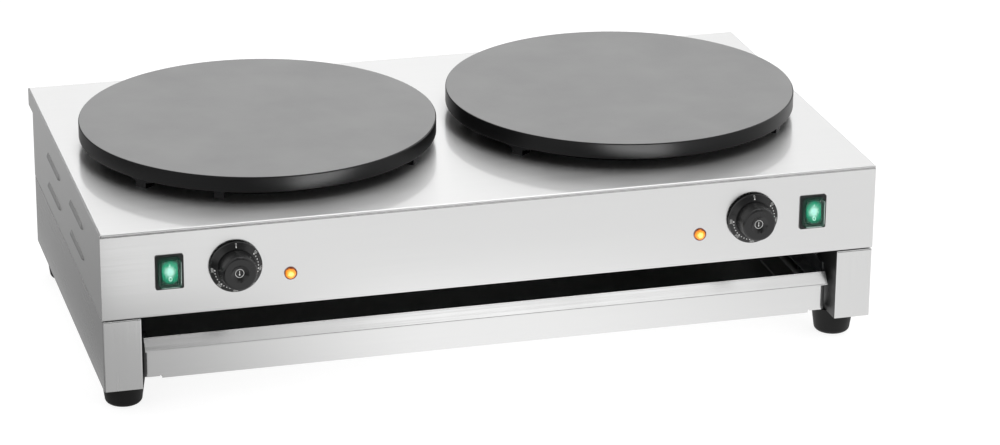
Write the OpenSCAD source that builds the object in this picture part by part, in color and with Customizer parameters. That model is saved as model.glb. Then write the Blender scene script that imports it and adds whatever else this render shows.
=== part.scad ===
// Double electric crepe maker: two round cast griddle plates stand on a folded
// stainless housing, and a shallow utensil drawer slides in the frame below it.
// X runs along the front, Y runs from front to rear and Z is up. The feet rest on Z = 0.

/* [Housing] */
// Width of the housing
body_w = 868; // [840:1:900]
// Depth of the top sheet, rear overhang included
body_d = 492; // [488:1:520]
// Overhang of the top sheet behind the rear wall
rear_overhang = 30; // [26:1:40]
// Height of the housing above the base frame
body_h = 99; // [98:1:120]
// Height of the flange at the rear edge of the top sheet
rear_flange_h = 21; // [12:1:30]
// Height of the front edge fold above the control panel
front_lip_h = 2.4; // [2.2:0.1:5]
// Thickness of the folded steel sheet
sheet = 1.2; // [1:0.1:1.4]
// Outer radius of the folds in the top sheet
fold_r = 2; // [1.8:0.1:2.6]
// Length of each louvre in the sides
louvre_l = 86; // [70:1:100]
// Height of each louvre
louvre_h = 5.5; // [4:0.5:9]
// Distance that a louvre stands out from the side
louvre_out = 2.2; // [1.6:0.1:3]

/* [Base frame] */
// Height of the base frame
base_h = 80.5; // [80:0.5:100]
// Width of each leg, seen from the front
leg_w = 42; // [38:1:44]
// Depth of the return behind each leg
leg_return = 60; // [50:1:80]
// Outer radius of the folds of the legs
leg_fold_r = 1.8; // [1.6:0.1:2.4]
// Height of each rubber foot
foot_h = 31.5; // [26:0.5:33]
// Diameter of a foot at its top
foot_top_d = 48.5; // [44:0.5:50]
// Diameter of a foot near its base
foot_base_d = 41; // [38:0.5:44]

/* [Griddle plates] */
// Diameter of each griddle plate
plate_d = 400; // [380:1:404]
// Distance between the two plate centres
plate_pitch = 424; // [415:1:430]
// Distance of the plate centres from the front panel
plate_y = 246; // [244:1:252]
// Clear height between the top sheet and the rim of a plate
plate_lift = 12.5; // [12:0.5:20]
// Height of the rim of a plate
rim_h = 18; // [14:0.5:20]
// Thickness of a plate inside its rim
plate_t = 12; // [10:0.5:14]
// Radius of the round openings in the top sheet
well_r = 168; // [164:1:172]

/* [Controls] */
// Distance of the thermostat knobs from the middle
knob_x = 290; // [280:1:300]
// Depth of the knob and switch axes below the top sheet
control_drop = 48; // [44:1:52]
// Diameter of the knob skirts
knob_skirt_d = 57; // [50:1:60]
// Distance the knobs stand in front of the panel
knob_reach = 26; // [24:1:30]
// Distance of the rocker switches from the middle
switch_x = 361; // [350:1:370]
// Distance of the pilot lamps from the middle
lamp_x = 230; // [220:1:240]
// Depth of the pilot lamps below the top sheet
lamp_drop = 62.5; // [58:0.5:66]

/* [Drawer] */
// Width of the drawer front
drawer_front_w = 776.6; // [770:0.2:778]
// Width of the drawer tray
tray_w = 738; // [720:1:744]
// Depth of the drawer tray
tray_d = 424; // [400:1:430]
// Distance of the drawer front behind the panel
drawer_set = 20; // [16:1:24]
// Height of the lower edge of the drawer front above the floor
drawer_z = 34.6; // [34:0.1:36]
// Height of the tray walls
tray_h = 28.8; // [26:0.1:32]
// Length of the sloping lip along the top of the drawer front
lip_l = 14.6; // [14:0.1:18]
// Slope of the lip, in degrees
lip_slope = 51; // [40:1:55]

/* [Hidden] */

fine = 128;
medium = 64;
coarse = 32;
through = 10;
seam = 1;
wall_d = body_d - rear_overhang;
z_body = foot_h + base_h;
z_top = z_body + body_h;
z_rim = z_top + plate_lift;
z_plate = z_rim + rim_h;
z_under = z_plate - plate_t;
y_front = knob_reach - (body_d + knob_reach) / 2;
inner_x = body_w / 2 - sheet;
leg_x = body_w / 2 - leg_w;
leg_mid = leg_x + leg_w / 2;
plate_x = plate_pitch / 2;
z_axis = z_top - control_drop;
z_lamp = z_top - lamp_drop;

// Screws, bolts and studs: shank radii, and the clearance holes for screws
screw_r = 1.95;
screw_hole_r = 2.2;
stud_r = 3;
m6_across = 10;

// Places of the feet, of the floor screws and of the rear panel screws
foot_x = 406.5;
foot_y = 44;
foot_points = [for (s = [-1, 1], y = [foot_y, wall_d - foot_y]) [s * foot_x, y]];
floor_screw_points = [for (s = [-1, 1], y = [70, 200, 330, 430]) [s * 412, y]];
rear_tab_w = 16;
rear_tab_x = inner_x - rear_tab_w / 2;
rear_screw_points = [for (s = [-1, 1], z = [z_body + 26, z_top - 12]) [s * rear_tab_x, z]];

// Louvres: radius of the bar that a hood is cut from, and depth of its axis behind the side
louvre_r = (louvre_h * louvre_h + louvre_out * louvre_out) / (2 * louvre_out);
louvre_axis = louvre_r - louvre_out;
louvre_wall = 0.9;
louvre_lance = 0.6;
louvre_drop = 35;
louvre_pitch_y = 156;
louvre_pitch_z = 35.5;

// Lower and upper flange of the control panel, and height of its rounded face
panel_flange = 22;
panel_top_flange = 12;
panel_gap = 0.5;
panel_h = body_h - seam - front_lip_h - panel_gap;

// Top sheet collar, plate rim and plate legs
collar_h = 7;
rim_wall = 7;
leg_angles = [36.5, 143.5, 216.5, 323.5];
leg_plate_r = 189;
leg_foot_r = leg_plate_r - 6;
leg_bolt_r = leg_plate_r - 8;
leg_sheet = 2.5;

// Heater, insulation and pan under a plate
heater_r = 4.25;
heater_rings = [150, 110, 70];
bend_r = (heater_rings[0] - heater_rings[1]) / 2;
heater_start = 97;
heater_end = 62;
first_bend_at = 78;
second_bend_at = 108;
weld_r = heater_r + 0.15;
heater_z = z_under - weld_r;
heater_tail = 44;
pan_r = 163;
pan_depth = 36;
pan_z = z_under - pan_depth;
pan_sheet = 1.5;
stud_ring = 130;
stud_angles = [0, 180, 270];
blind_depth = 8;

// Temperature sensor of each plate: angle of the bulb and of the way out of the well
sensor_angles = [245.4, 350];
sensor_exits = [230, 332];
sensor_ring = 178;
bulb_r = 3;
bulb_l = 80;
bulb_z = z_under - bulb_r - 0.05;
capillary_r = 1;
capillary_ring = 165.5;
clip_w = 11;
clip_t = 1.5;

// Rails and tray
rail_x = 374;
rail_z = 60;
rail_start = 40;
tray_sheet = 1;
fold_drop = 1.4;
rim_z = drawer_z - fold_drop + 0.4 + tray_h;
tray_y = drawer_set + sheet;
rim_reach = 388;
stop_y = 80;
stop_t = 2;

// Thermostat body, its bush and its screws
bush_hole_r = 5.2;
thermostat_w = 40;
thermostat_pitch = 14;
shaft_r = 3;
shaft_l = 43.5;
shaft_front = 18;

// Switch, rocker and cover
bezel_w = 30.4;
bezel_h = 38.6;
bezel_t = 1.8;
bezel_corner_r = 2;
switch_body_w = 21.6;
switch_body_h = 29.6;
cavity_w = 17.4;
cavity_h = 27.8;
rocker_w = 16.6;
rocker_pivot = 2;
rocker_tilt = 7.5;
pivot_pin_r = 1.5;
pin_reach = 9.8;
cap_w = 25;
cap_h = 34;
cap_d = 8;
cap_wall = 0.9;

// Rear fittings
gland_x = 300;
gland_z = z_body + 34;
gland_r = 8;
gland_across = 22;
stud_x = 352;

// ---------- helpers ----------

// Moves to the frame whose Y = 0 is the face of the control panel
module at_panel() translate([0, y_front, 0]) children();

// Draws children for the right side, or mirrored for the left side
module on_side(side) mirror([side == "left" ? 1 : 0, 0, 0]) children();

// Draws children on both sides
module both_sides() for (side = ["left", "right"]) on_side(side) children();

// Extrudes a profile drawn in X and Z from Y = 0 towards the rear
module extrude_y(length) translate([0, length, 0]) rotate([90, 0, 0])
    linear_extrude(length) children();

// Extrudes a profile drawn in X and Z from Y = 0 towards the front
module extrude_forward(length) rotate([90, 0, 0]) linear_extrude(length) children();

// Extrudes a profile drawn in Y and Z along X, centred on X = 0
module extrude_x(length) rotate([90, 0, 90]) translate([0, 0, -length / 2])
    linear_extrude(length) children();

// Round hole through a sheet that lies level
module level_hole(x, y, z, r) translate([x, y, z - through / 2])
    cylinder(h = through, r = r, $fn = coarse);

// Round hole through a sheet that faces front or rear
module upright_hole(x, y, z, r) translate([x, y + through / 2, z]) rotate([90, 0, 0])
    cylinder(h = through, r = r, $fn = coarse);

// Rectangle with two rounded upper corners, standing on its lower edge
module round_top(w, h, r) {
    translate([-w / 2, 0]) square([w, h - r]);
    translate([-w / 2 + r, 0]) square([w - 2 * r, h]);
    for (side = [-1, 1])
        translate([side * (w / 2 - r), h - r]) circle(r, $fn = medium);
}

// Box whose upper edges are folds of radius r
module folded_box(w, d, h, r) intersection() {
    extrude_y(d) round_top(w, h, r);
    translate([0, d / 2, 0]) extrude_x(w) round_top(d, h, r);
}

// Rectangle with four rounded corners, centred
module rounded_rect(w, h, r) {
    square([w - 2 * r, h], center = true);
    square([w, h - 2 * r], center = true);
    for (sx = [-1, 1], sy = [-1, 1])
        translate([sx * (w / 2 - r), sy * (h / 2 - r)]) circle(r, $fn = medium);
}

// Rectangle from (0, 0) whose two corners on the Z axis are rounded
module round_front(d, h, r) {
    translate([r, 0]) square([d - r, h]);
    translate([0, r]) square([r, h - 2 * r]);
    for (z = [r, h - r]) translate([r, z]) circle(r, $fn = medium);
}

// Plan rectangle from Y = 0 whose two front corners are rounded
module plan_round(w, d, r) {
    translate([-w / 2, r]) square([w, d - r]);
    translate([-w / 2 + r, 0]) square([w - 2 * r, r]);
    for (side = [-1, 1]) translate([side * (w / 2 - r), r]) circle(r, $fn = medium);
}

// Slot with round ends, centred
module slot(l, h) {
    square([l - h, h], center = true);
    for (side = [-1, 1]) translate([side * (l - h) / 2, 0]) circle(h / 2, $fn = coarse);
}

// Turns an upright shape so that its top points to the front
module facing_front(x, z) translate([x, 0, z]) rotate([90, 0, 0]) children();

// Round rod between two points
module rod(p, q, r) {
    v = q - p;
    l = norm(v);
    tilt = acos(v[2] / l);
    turn = atan2(v[1], v[0]);
    translate(p) rotate([0, tilt, turn]) cylinder(h = l, r = r, $fn = 24);
}

// Bent rod through a list of points, with ball corners
module bent_rod(points, r) {
    for (i = [0 : len(points) - 2]) rod(points[i], points[i + 1], r);
    for (i = [1 : len(points) - 2]) translate(points[i]) sphere(r * 1.2, $fn = 24);
}

// Pan-head screw standing on its shank, with the underside of its head at Z = 0
module screw(shank_l, head_r, head_h) {
    translate([0, 0, -shank_l]) cylinder(h = shank_l, r = screw_r, $fn = coarse);
    difference() {
        cylinder(h = head_h, r1 = head_r, r2 = head_r * 0.82, $fn = coarse);
        for (turn = [0, 90]) rotate([0, 0, turn])
            translate([-head_r * 0.5, -head_r * 0.11, head_h * 0.45])
                cube([head_r, head_r * 0.22, head_h]);
    }
}

// Hexagonal prism lying on Z = 0
module hexagon(across, h) cylinder(h = h, d = across / cos(30), $fn = 6);

// Flat push-on terminal, centred
module blade() cube([6.3, 8, 0.8], center = true);

// ---------- housing ----------

// Bar with ball ends along Y; the part of it beyond the side is the hood of a louvre
module louvre_bar(r) {
    half = louvre_l / 2 - louvre_h;
    rotate([90, 0, 0]) rotate_extrude($fn = fine) difference() {
        union() {
            translate([-r, -half]) square([2 * r, 2 * half]);
            for (end = [-1, 1]) translate([0, end * half]) circle(r, $fn = fine);
        }
        translate([-2 * r, -louvre_l]) square([2 * r, 2 * louvre_l]);
    }
}

// Part of a louvre bar outside a plane along the side and above the level of the lip
module louvre_hood(r, plane_x, lip_z) intersection() {
    translate([body_w / 2 - louvre_axis, 0, 0]) louvre_bar(r);
    translate([plane_x, -louvre_l, lip_z])
        cube([2 * (louvre_out + sheet), 2 * louvre_l, 2 * louvre_h]);
}

// Places children at each louvre of both sides
module at_louvres() both_sides() for (row = [0, 1], column = [-1, 1])
    translate([0, wall_d / 2 + column * louvre_pitch_y / 2, z_top - louvre_drop - row * louvre_pitch_z])
        children();

module cover_shell() {
    relief = 1.6;
    difference() {
        translate([0, 0, z_body + seam]) folded_box(body_w, body_d, body_h - seam, fold_r);
        translate([0, sheet, z_body - 1])
            folded_box(body_w - 2 * sheet, body_d - 2 * sheet, body_h + 1 - sheet, fold_r - sheet);
        translate([-body_w / 2 - 1, -1, z_body])
            cube([body_w + 2, sheet + 1.1, body_h - front_lip_h]);
        translate([-body_w / 2 - 1, wall_d, z_body])
            cube([body_w + 2, body_d, body_h - rear_flange_h]);
        both_sides() translate([body_w / 2 - relief, -1, z_top - front_lip_h - relief / 2])
            cube([2 * relief, 1 + relief, relief]);
    }
}

module top_cover() color("gainsboro") at_panel() {
    difference() {
        union() {
            cover_shell();
            at_louvres() louvre_hood(louvre_r, body_w / 2 - sheet / 2, 0);
        }
        at_louvres() louvre_hood(louvre_r - louvre_wall, body_w / 2 - 2 * sheet, -louvre_lance);
        both_sides() translate([plate_x, plate_y, z_top - through / 2])
            cylinder(h = through, r = well_r, $fn = fine);
        for (side = [-1, 1], a = leg_angles)
            level_hole(side * plate_x + leg_foot_r * cos(a), plate_y + leg_foot_r * sin(a), z_top,
                screw_hole_r);
    }
    both_sides() translate([plate_x, plate_y, z_top - sheet - collar_h]) well_collar();
    difference() {
        both_sides() translate([rear_tab_x - rear_tab_w / 2, wall_d - 2 * sheet, z_body + 16])
            cube([rear_tab_w, sheet, body_h - sheet - 16]);
        rear_screw_holes();
    }
}

// Turned-down edge of a round opening in the top sheet
module well_collar() rotate_extrude($fn = fine)
    translate([well_r, 0]) square([sheet, collar_h]);

module control_panel() color("lightgray") at_panel() {
    face_r = 1.6;
    tab_d = 16;
    difference() {
        translate([0, 0, z_body + seam]) extrude_x(body_w) difference() {
            round_front(panel_flange, panel_h, face_r);
            translate([sheet, sheet])
                round_front(panel_flange, panel_h - 2 * sheet, face_r - sheet + 0.1);
            translate([panel_top_flange, panel_h - sheet - 1]) square([panel_flange, sheet + 2]);
        }
        both_sides() control_cutouts();
        both_sides() translate([inner_x, sheet, z_body]) cube([2 * sheet, panel_flange, body_h]);
    }
    both_sides() translate([inner_x - sheet / 2, 1 + tab_d / 2, z_body + body_h / 2])
        cube([sheet, tab_d, body_h - tab_d], center = true);
}

// Openings in the panel for the switch, the thermostat and the lamp of one side
module control_cutouts() {
    cutout_w = switch_body_w + 0.4;
    cutout_h = switch_body_h + 0.4;
    lamp_hole_r = 5;
    translate([switch_x, 0, z_axis]) cube([cutout_w, 2 * through, cutout_h], center = true);
    upright_hole(knob_x, 0, z_axis, bush_hole_r);
    for (dx = [-thermostat_pitch, thermostat_pitch])
        upright_hole(knob_x + dx, 0, z_axis, screw_hole_r);
    upright_hole(lamp_x, 0, z_lamp, lamp_hole_r);
}

module rear_screw_holes() for (p = rear_screw_points)
    upright_hole(p[0], wall_d, p[1], screw_hole_r);

module rear_panel() color("silver") at_panel() difference() {
    vent_l = 22;
    vent_w = 5;
    vent_pitch = 26;
    first_vent_x = 55;
    translate([-inner_x, wall_d - sheet, z_body + seam])
        cube([2 * inner_x, sheet, body_h - seam - sheet]);
    for (side = [-1, 1], z = [z_body + 34, z_body + 66], i = [0 : 5])
        translate([side * (first_vent_x + i * vent_pitch), wall_d - through / 2, z])
            extrude_y(through) rotate(90) slot(vent_l, vent_w);
    upright_hole(gland_x, wall_d, gland_z, gland_r + 0.1);
    upright_hole(stud_x, wall_d, gland_z, stud_r + 0.1);
    rear_screw_holes();
}

module housing_floor() color("silver") at_panel() {
    floor_t = 1;
    floor_start = 8;
    wall_h = 13;
    wall_y = panel_flange + 2 * sheet + 1;
    wall_l = wall_d - 2 * sheet - 1 - wall_y;
    difference() {
        union() {
            translate([-inner_x, floor_start, z_body])
                cube([2 * inner_x, wall_d - sheet - floor_start, floor_t]);
            both_sides() translate([inner_x - floor_t, wall_y, z_body + floor_t])
                cube([floor_t, wall_l, wall_h]);
        }
        for (p = floor_screw_points) level_hole(p[0], p[1], z_body, screw_hole_r);
    }
}

// ---------- base frame and drawer rails ----------

module base_side(side) color("silver") at_panel() on_side(side) difference() {
    intersection() {
        translate([leg_mid, 0, foot_h]) folded_box(leg_w, wall_d, base_h, leg_fold_r);
        translate([leg_mid, wall_d / 2, foot_h]) linear_extrude(base_h)
            rounded_rect(leg_w, wall_d, leg_fold_r);
    }
    translate([leg_mid, sheet, foot_h + sheet])
        folded_box(leg_w - 2 * sheet, wall_d - 2 * sheet, base_h - 2 * sheet, leg_fold_r - sheet);
    translate([leg_x - 1, leg_return, foot_h + sheet])
        cube([sheet + 2, wall_d - 2 * leg_return, base_h - 2 * sheet]);
    for (p = foot_points) level_hole(p[0], p[1], foot_h, stud_r + 0.3);
    for (p = floor_screw_points) level_hole(p[0], p[1], z_body, screw_hole_r);
}

module base_rear_panel() color("silver") at_panel() {
    flange = 14;
    set_in = 9;
    translate([-leg_x, wall_d - sheet, foot_h + sheet])
        cube([2 * leg_x, sheet, base_h - sheet]);
    translate([-leg_x + set_in, wall_d - flange, foot_h + sheet])
        cube([2 * (leg_x - set_in), flange - sheet, sheet]);
}

// Rail with a shelf below the tray's runner, a guard above it and a stop tab at the front
module rail(side) color("gray") at_panel() on_side(side) {
    rail_l = wall_d - 2 * sheet - rail_start - 4;
    web_h = 36;
    web_drop = 12;
    guard_x = rail_x + 2;
    guard_z = rim_z + 3.5;
    tab_w = 10;
    tab_h = 2.8;
    translate([leg_x - sheet, rail_start, rail_z - web_drop]) cube([sheet, rail_l, web_h]);
    translate([rail_x, rail_start, rail_z]) cube([leg_x - rail_x - sheet, rail_l, sheet]);
    translate([guard_x, rail_start, guard_z]) cube([leg_x - guard_x - sheet, rail_l, sheet]);
    translate([guard_x, stop_y - stop_t, guard_z - tab_h]) cube([tab_w, stop_t, tab_h]);
}

// ---------- drawer ----------

// Sloping lip with a hem turned back under its front edge
module drawer_lip() extrude_x(drawer_front_w - 2.6)
    translate([tray_y, drawer_z + 46.4]) rotate(lip_slope) {
        hem_l = 8;
        hem_t = 2.7;
        translate([-lip_l, -sheet]) square([lip_l, sheet]);
        translate([-lip_l, -hem_t / 2]) circle(hem_t / 2, $fn = coarse);
        translate([-lip_l, -hem_t]) square([hem_l, sheet]);
    }

// Face with rounded ends, cut short below its ends, and the strip that joins it to the tray
module drawer_front() color("gainsboro") at_panel() {
    face_h = 45.4;
    corner_r = 6;
    end_rise = 0.9;
    notch_w = 2;
    difference() {
        translate([0, drawer_set, drawer_z]) linear_extrude(face_h) difference() {
            plan_round(drawer_front_w, 14, corner_r);
            translate([0, sheet]) plan_round(drawer_front_w - 2 * sheet, 15, corner_r - sheet);
        }
        both_sides() translate([tray_w / 2, drawer_set - 1, drawer_z - end_rise])
            cube([tray_w, 2 * through, 2 * end_rise]);
        both_sides() translate([tray_w / 2 - notch_w / 2, drawer_set - 1, drawer_z - 2])
            cube([notch_w, 1 + 2 * sheet, 4]);
    }
    translate([0, drawer_set + sheet / 2, drawer_z + (face_h - fold_drop) / 2])
        cube([tray_w - notch_w, sheet, face_h + fold_drop], center = true);
    drawer_lip();
}

// Tray with folded lower edges, runners along its rim and stop lugs at its rear
module drawer_tray() color("silver") at_panel() {
    runner_set = 18;
    runner_w = rim_reach - tray_w / 2 + tray_sheet / 2;
    lug_w = 8;
    lug_h = 2.4;
    outer_r = 3;
    difference() {
        translate([0, tray_y, rim_z]) mirror([0, 0, 1]) folded_box(tray_w, tray_d, tray_h, outer_r);
        translate([0, tray_y + tray_sheet, rim_z + 1]) mirror([0, 0, 1])
            folded_box(tray_w - 2 * tray_sheet, tray_d - 2 * tray_sheet, tray_h + 1 - tray_sheet,
                outer_r - tray_sheet);
    }
    both_sides() {
        translate([rim_reach - runner_w, tray_y + runner_set, rim_z - tray_sheet])
            cube([runner_w, tray_d - runner_set, tray_sheet]);
        translate([rail_x + 3, tray_y + tray_d - stop_t, rim_z])
            cube([lug_w, stop_t, lug_h]);
    }
}

// ---------- feet ----------

module foot(x, y) color("black") at_panel() translate([x, y, 0]) {
    base_r = foot_base_d / 2;
    edge_r = 6;
    hollow_r = 9;
    hollow_h = 14;
    bolt_hole_r = 3.3;
    rotate_extrude($fn = 96) difference() {
        union() {
            polygon([[0, edge_r], [base_r, edge_r], [foot_top_d / 2, foot_h], [0, foot_h]]);
            square([base_r - edge_r, edge_r]);
            translate([base_r - edge_r, edge_r]) circle(edge_r, $fn = medium);
        }
        translate([-1, -1]) square([1 + hollow_r, 1 + hollow_h]);
        translate([-1, -1]) square([1 + bolt_hole_r, foot_h + 2]);
    }
}

// Bolt, washer and nut of each foot
module foot_bolts() color("darkgray") at_panel() for (p = foot_points) translate([p[0], p[1], 0]) {
    washer_r = 6.5;
    head_z = 8;
    washer_z = 11;
    washer_t = 3;
    nut_h = 5;
    translate([0, 0, washer_z]) cylinder(h = washer_t, r = washer_r, $fn = coarse);
    translate([0, 0, head_z]) hexagon(m6_across, washer_z - head_z);
    translate([0, 0, washer_z + washer_t]) cylinder(h = foot_h - 4, r = stud_r, $fn = coarse);
    translate([0, 0, foot_h + sheet]) hexagon(m6_across, nut_h);
}

// ---------- griddle plates and heating ----------

module at_plate(side) at_panel() translate([side == "left" ? -plate_x : plate_x, plate_y, 0]) children();

// Places children at each leg of a plate
module at_legs() for (a = leg_angles) rotate([0, 0, a]) children();

// Places children at each pan stud of a plate
module at_studs() for (a = stud_angles) rotate([0, 0, a]) translate([stud_ring, 0, 0]) children();

// Half section of a plate: a disc with a deeper rim and rounded edges
module plate_profile() {
    r = plate_d / 2;
    round_r = 1.2;
    translate([0, z_under]) square([r - round_r, plate_t]);
    translate([r - rim_wall, z_rim + round_r]) square([rim_wall, rim_h - 2 * round_r]);
    translate([r - rim_wall + round_r, z_rim]) square([rim_wall - 2 * round_r, rim_h]);
    for (x = [r - rim_wall + round_r, r - round_r]) translate([x, z_rim + round_r])
        circle(round_r, $fn = coarse);
    translate([r - round_r, z_plate - round_r]) circle(round_r, $fn = coarse);
}

module plate(side) color("dimgray") at_plate(side) difference() {
    rotate_extrude($fn = 180) plate_profile();
    at_studs() translate([0, 0, z_under - 1]) cylinder(h = blind_depth + 1, r = stud_r, $fn = coarse);
    at_legs() translate([leg_bolt_r, 0, z_under - 1])
        cylinder(h = blind_depth + 1, r = screw_r + 0.05, $fn = coarse);
}

module arc_tube(ring, from, sweep) rotate([0, 0, from]) rotate_extrude(angle = sweep, $fn = 96)
    translate([ring, 0]) circle(heater_r, $fn = 16);

module heater_bend(ring, at, away) rotate([0, 0, at]) translate([ring, 0, 0])
    rotate([0, 0, away > 0 ? 0 : 180]) rotate_extrude(angle = 180, $fn = 36)
        translate([bend_r, 0]) circle(heater_r, $fn = 16);

module heater_weld(ring, at) rotate([0, 0, at]) translate([ring, 0, 0]) sphere(weld_r, $fn = 24);

module heater_terminal(ring, at) {
    heater_weld(ring, at);
    rotate([0, 0, at]) translate([ring, 0, -heater_tail])
        cylinder(h = heater_tail, r = heater_r - 0.5, $fn = 24);
}

// Tubular element: three rings joined by two return bends, with two tails down through the pan
module heater(side) color("darkslategray") at_plate(side) translate([0, 0, heater_z]) {
    arc_tube(heater_rings[0], heater_start, 360 - heater_start + first_bend_at);
    heater_bend(heater_rings[1] + bend_r, first_bend_at, 1);
    arc_tube(heater_rings[1], second_bend_at, 360 - second_bend_at + first_bend_at);
    heater_bend(heater_rings[2] + bend_r, second_bend_at, -1);
    arc_tube(heater_rings[2], second_bend_at, 360 - second_bend_at + heater_end);
    for (ring = [0, 1]) heater_weld(heater_rings[ring], first_bend_at);
    for (ring = [1, 2]) heater_weld(heater_rings[ring], second_bend_at);
    heater_terminal(heater_rings[0], heater_start);
    heater_terminal(heater_rings[2], heater_end);
}

// Holes through the pan and the insulation for the studs and the heater's tails
module pan_holes(tail_hole_r) {
    deep = 60;
    translate([0, 0, pan_z - through]) {
        at_studs() cylinder(h = deep, r = stud_r + 0.2, $fn = coarse);
        for (t = [[heater_rings[0], heater_start], [heater_rings[2], heater_end]])
            rotate([0, 0, t[1]]) translate([t[0], 0, 0])
                cylinder(h = deep, r = tail_hole_r, $fn = coarse);
    }
}

module insulation(side) color("beige") at_plate(side) difference() {
    translate([0, 0, pan_z + pan_sheet])
        cylinder(h = pan_depth - pan_sheet - 2 * weld_r, r = pan_r - pan_sheet - 1, $fn = fine);
    pan_holes(heater_r + 0.5);
}

module pan(side) color("slategray") at_plate(side) difference() {
    translate([0, 0, pan_z]) cylinder(h = pan_depth, r = pan_r, $fn = fine);
    translate([0, 0, pan_z + pan_sheet]) cylinder(h = pan_depth, r = pan_r - pan_sheet, $fn = fine);
    pan_holes(heater_r + 1.2);
}

// Studs that hold each pan under its plate, with a washer and a nut below the pan
module pan_bolts() color("darkgray") for (side = ["left", "right"]) at_plate(side) at_studs() {
    washer_t = 1.2;
    washer_r = 8;
    nut_h = 4.8;
    tail = 9;
    translate([0, 0, pan_z - tail])
        cylinder(h = tail + pan_depth + blind_depth - 1, r = stud_r - 0.05, $fn = coarse);
    translate([0, 0, pan_z - washer_t - nut_h]) hexagon(m6_across, nut_h);
    translate([0, 0, pan_z - washer_t]) cylinder(h = washer_t, r = washer_r, $fn = coarse);
}

// Leg of folded strip: a flange under the plate, a tapered web and a threaded foot on the sheet
module plate_leg() {
    wide = 18;
    narrow = 7;
    flange_l = 16;
    foot_l = 11;
    difference() {
        union() {
            translate([leg_plate_r, 0, 0]) rotate([90, 0, 90]) linear_extrude(leg_sheet)
                polygon([[-wide, z_under], [wide, z_under], [wide, z_top + 9], [narrow, z_top + 6],
                    [narrow, z_top], [-narrow, z_top], [-narrow, z_top + 6], [-wide, z_top + 9]]);
            translate([leg_plate_r - flange_l, -wide, z_under - leg_sheet])
                cube([flange_l + 0.5, 2 * wide, leg_sheet]);
            translate([leg_plate_r - foot_l, -narrow, z_top])
                cube([foot_l + 0.5, 2 * narrow, leg_sheet]);
        }
        level_hole(leg_bolt_r, 0, z_under, screw_hole_r);
        level_hole(leg_foot_r, 0, z_top, screw_r + 0.05);
    }
}

module plate_legs(side) color("dimgray") at_plate(side) at_legs() plate_leg();

// Screws up into the plate and, from inside the housing, up into the feet of the legs
module leg_screws() color("darkgray") for (side = ["left", "right"]) at_plate(side) at_legs() {
    translate([leg_foot_r, 0, z_top - sheet]) mirror([0, 0, 1]) screw(6, 3.2, 2.4);
    translate([leg_bolt_r, 0, z_under - leg_sheet]) mirror([0, 0, 1]) screw(8, 3.4, 2.4);
}

// Sensor bulb under the plate, with its capillary tube down to the thermostat
module sensor(side) color("peru") at_plate(side) {
    i = side == "left" ? 0 : 1;
    a = sensor_angles[i];
    knob_dx = (knob_x - plate_x) * (2 * i - 1);
    behind_panel = 22 - plate_y;
    tip = [sensor_ring * cos(a) + bulb_l / 2 * sin(a),
        sensor_ring * sin(a) - bulb_l / 2 * cos(a), bulb_z];
    way_out = [capillary_ring * cos(sensor_exits[i]), capillary_ring * sin(sensor_exits[i])];
    rotate([0, 0, a]) translate([sensor_ring, -bulb_l / 2, bulb_z])
        rotate([-90, 0, 0]) cylinder(h = bulb_l, r = bulb_r, $fn = coarse);
    bent_rod([tip, [way_out[0], way_out[1], z_under - 11], [way_out[0], way_out[1], z_top - 18],
        [knob_dx, behind_panel, z_axis + 26], [knob_dx, behind_panel, z_axis + 17]], capillary_r);
}

// Clip that presses the bulb against the plate, with a broad tail towards the rim
module sensor_clip(side) color("gray") at_plate(side) {
    tail_x = 12.5;
    hook_x = -9.5;
    below = bulb_z - bulb_r - clip_t;
    rotate([0, 0, sensor_angles[side == "left" ? 0 : 1]])
        translate([sensor_ring, -clip_w / 2, 0]) extrude_y(clip_w) {
            translate([tail_x, z_top + 2]) square([clip_t, z_under - z_top - 2]);
            translate([hook_x, below]) square([tail_x + clip_t - hook_x, clip_t]);
            translate([hook_x, below]) square([clip_t, z_under - below]);
        }
}

// ---------- thermostats and knobs ----------

module thermostat(side) color("tan") at_panel() on_side(side) difference() {
    body_l = 27;
    base_t = 2;
    translate([knob_x, 0, z_axis]) {
        translate([-thermostat_w / 2, sheet, -10]) cube([thermostat_w, base_t, 20]);
        translate([-thermostat_w / 2, sheet + base_t, -17]) cube([thermostat_w, body_l, 34]);
        for (dx = [-10, 10]) translate([dx, sheet + base_t + body_l + 4, -6]) blade();
    }
    facing_front(knob_x, z_axis) translate([0, 0, -26])
        cylinder(h = 30, r = shaft_r + 0.05, $fn = medium);
    for (dx = [-thermostat_pitch, thermostat_pitch])
        upright_hole(knob_x + dx, 4, z_axis, screw_r + 0.05);
}

module thermostat_screws() color("darkgray") at_panel()
    both_sides() for (dx = [-thermostat_pitch, thermostat_pitch])
        facing_front(knob_x + dx, z_axis) screw(7, 3.5, 2);

module shaft(side) color("silver") at_panel() on_side(side)
    facing_front(knob_x, z_axis) translate([0, 0, shaft_front - shaft_l])
        cylinder(h = shaft_l, r = shaft_r, $fn = medium);

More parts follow.
